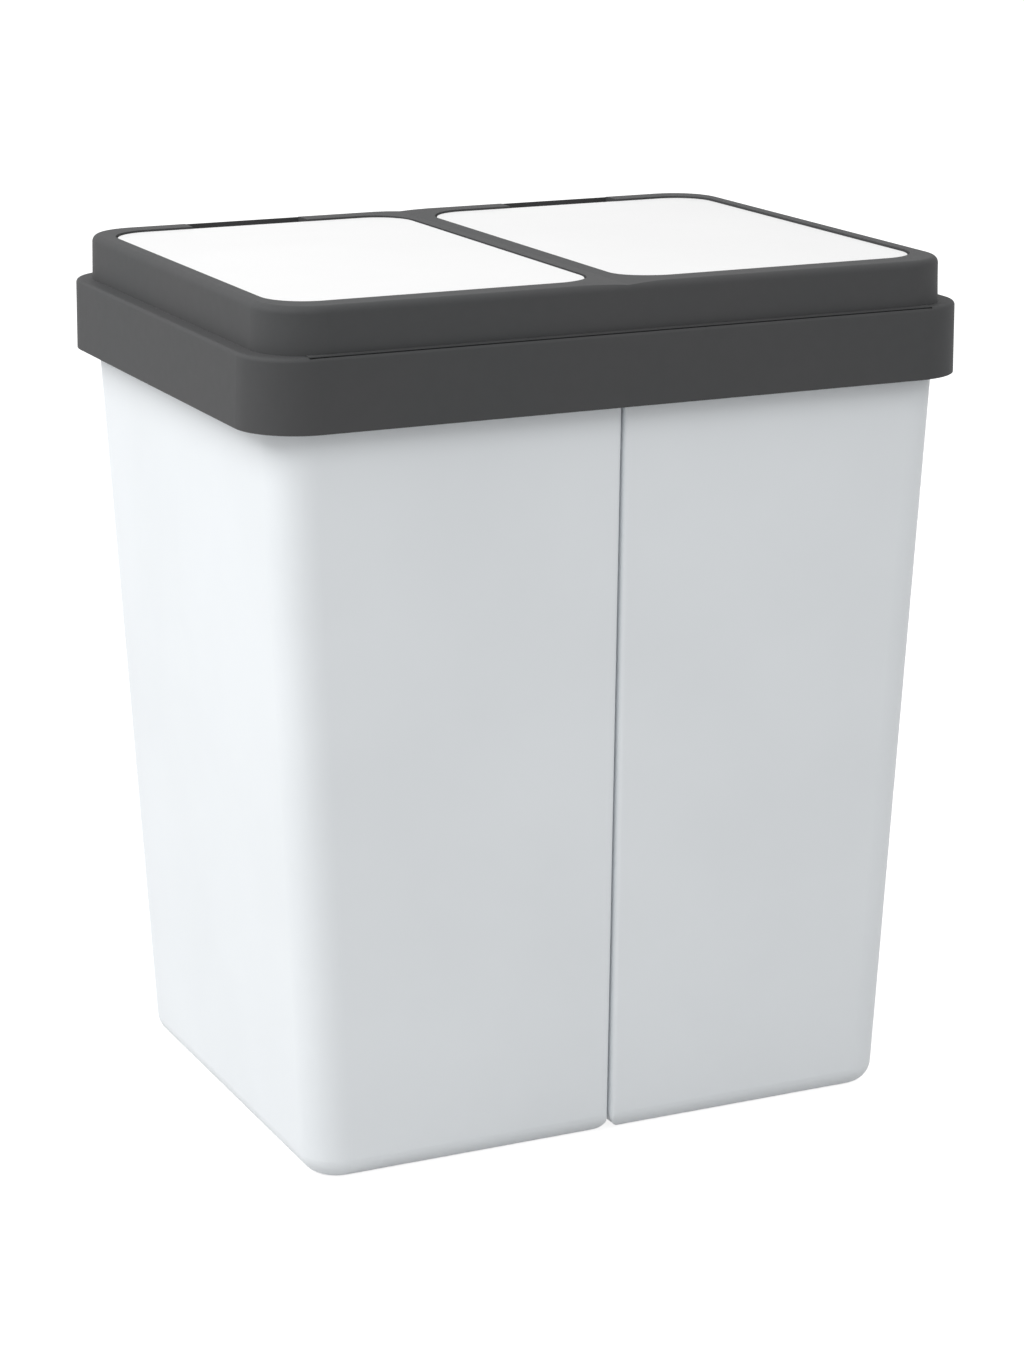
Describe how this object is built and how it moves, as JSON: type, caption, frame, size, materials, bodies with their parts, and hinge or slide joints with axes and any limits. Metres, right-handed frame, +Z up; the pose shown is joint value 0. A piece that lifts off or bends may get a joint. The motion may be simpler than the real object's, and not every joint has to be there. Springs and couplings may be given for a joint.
{
  "type": "double recycling bin",
  "caption": "Recycling bin: tapered buckets side by side under a shared two-step frame whose flush lids hinge at the back.",
  "frame": {"origin": "on the floor under the middle of the bin", "axes": "+X to the right along the front, +Y from the front to the hinged back, +Z up"},
  "size_m": [0.43, 0.326, 0.4943],
  "materials": {
    "bucket_plastic": "injection-moulded polypropylene, fine satin skin",
    "lid_plastic": "injection-moulded polypropylene, smooth satin",
    "frame_plastic": "injection-moulded polypropylene, fine spark-eroded grain",
    "steel": "zinc-plated steel"
  },
  "bodies": {
    "frame": {"band_ring": "frame_plastic", "rim_frame": "frame_plastic", "frame_screws": "steel", "hinge_pin_left": "steel", "hinge_pin_right": "steel"},
    "lid_left": {"lid_panel_left": "lid_plastic", "hinge_strap_left": "frame_plastic", "strap_screws_left": "steel"},
    "lid_right": {"lid_panel_right": "lid_plastic", "hinge_strap_right": "frame_plastic", "strap_screws_right": "steel"},
    "bucket_left": {"bucket_left": "bucket_plastic"},
    "bucket_right": {"bucket_right": "bucket_plastic"}
  },
  "joints": [
    {"name": "lid_left_hinge", "type": "hinge", "parent": "frame", "child": "lid_left", "pos_m": [-0.10325, 0.1475, 0.488], "axis": [-1, 0, 0], "range_deg": [0, 95]},
    {"name": "lid_right_hinge", "type": "hinge", "parent": "frame", "child": "lid_right", "pos_m": [0.10325, 0.1475, 0.488], "axis": [-1, 0, 0], "range_deg": [0, 95]},
    {"name": "bucket_left_lift", "type": "slide", "parent": "frame", "child": "bucket_left", "axis": [0, 0, -1], "range_m": [0, 0.045]},
    {"name": "bucket_right_lift", "type": "slide", "parent": "frame", "child": "bucket_right", "axis": [0, 0, -1], "range_m": [0, 0.045]}
  ]
}
